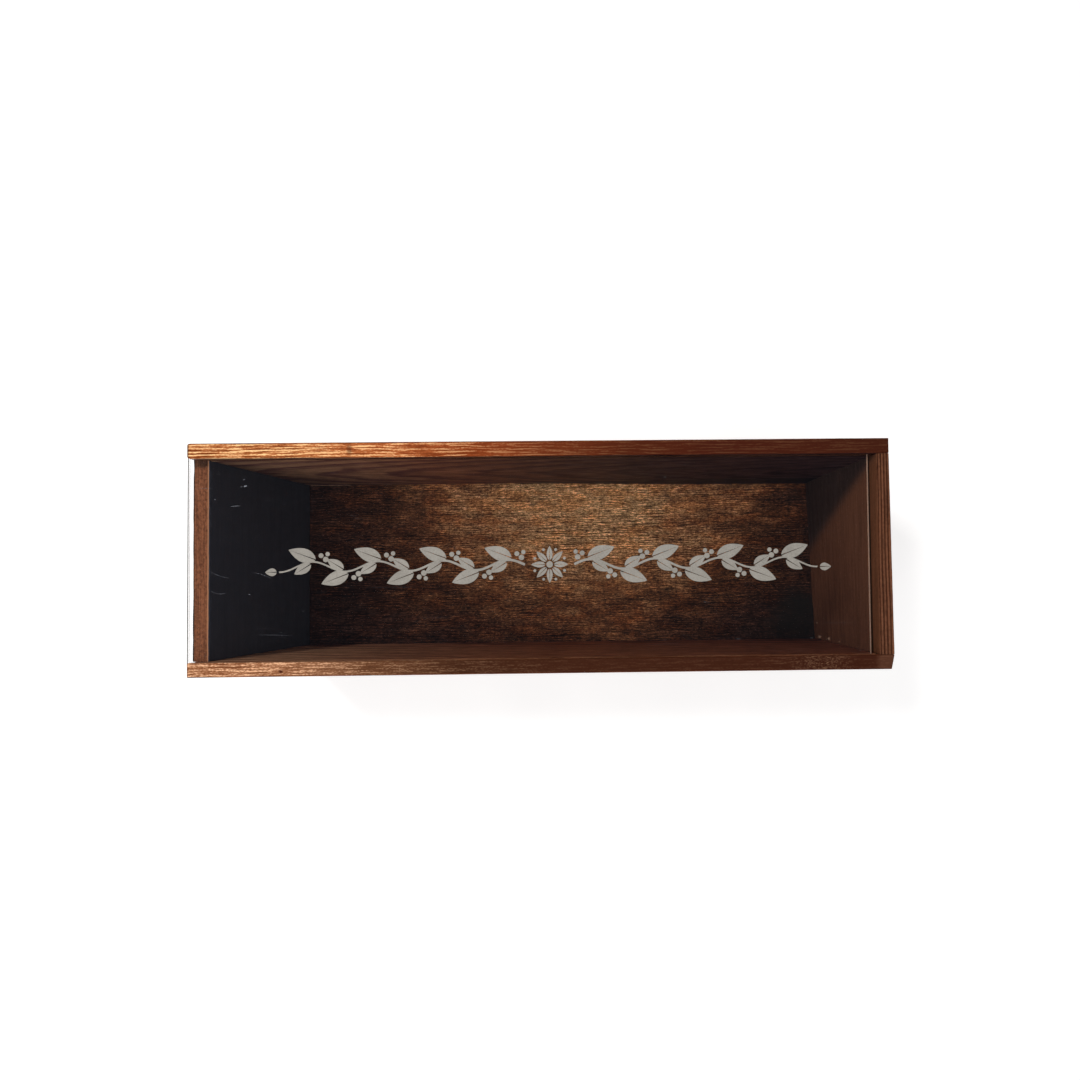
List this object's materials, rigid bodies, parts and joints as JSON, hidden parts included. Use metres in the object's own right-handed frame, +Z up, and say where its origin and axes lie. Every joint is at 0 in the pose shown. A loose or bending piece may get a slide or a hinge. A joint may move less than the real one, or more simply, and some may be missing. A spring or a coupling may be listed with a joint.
{
  "type": "wooden wine box",
  "caption": "Long nailed wooden box for a wine bottle, with a clear lid that slides in grooves and out over its lower end board.",
  "frame": {"origin": "centre of the underside of the floor panel, between the ends of the side boards", "axes": "+X along the box towards the full-height end board, +Y across the box, +Z up out of the lid; the lid leaves towards -X"},
  "size_m": [0.3684, 0.121, 0.102],
  "materials": {
    "stained_wood": "brown stain on planed softwood, ridged early and late wood, satin",
    "coarse_wood": "dark stain on coarse open-pored board",
    "clear_acrylic": "clear polished acrylic sheet with fine scratches",
    "brad_steel": "dull wire",
    "lid_print": "thin satin light grey film",
    "dried_glue": "dried wood glue"
  },
  "bodies": {
    "case": {"side_board_back": "stained_wood", "side_board_front": "stained_wood", "end_board_left": "stained_wood", "end_board_right": "stained_wood", "floor_panel": "coarse_wood", "corner_brads_back_left": "brad_steel", "corner_brads_back_right": "brad_steel", "corner_brads_front_left": "brad_steel", "corner_brads_front_right": "brad_steel", "floor_brads_back": "brad_steel", "floor_brads_front": "brad_steel", "floor_brads_left": "brad_steel", "floor_brads_right": "brad_steel"},
    "lid": {"lid": "clear_acrylic"}
  },
  "joints": [
    {"name": "lid_slide", "type": "slide", "parent": "case", "child": "lid", "axis": [-1, 0, 0], "range_m": [-0.0022, 0.36]}
  ]
}
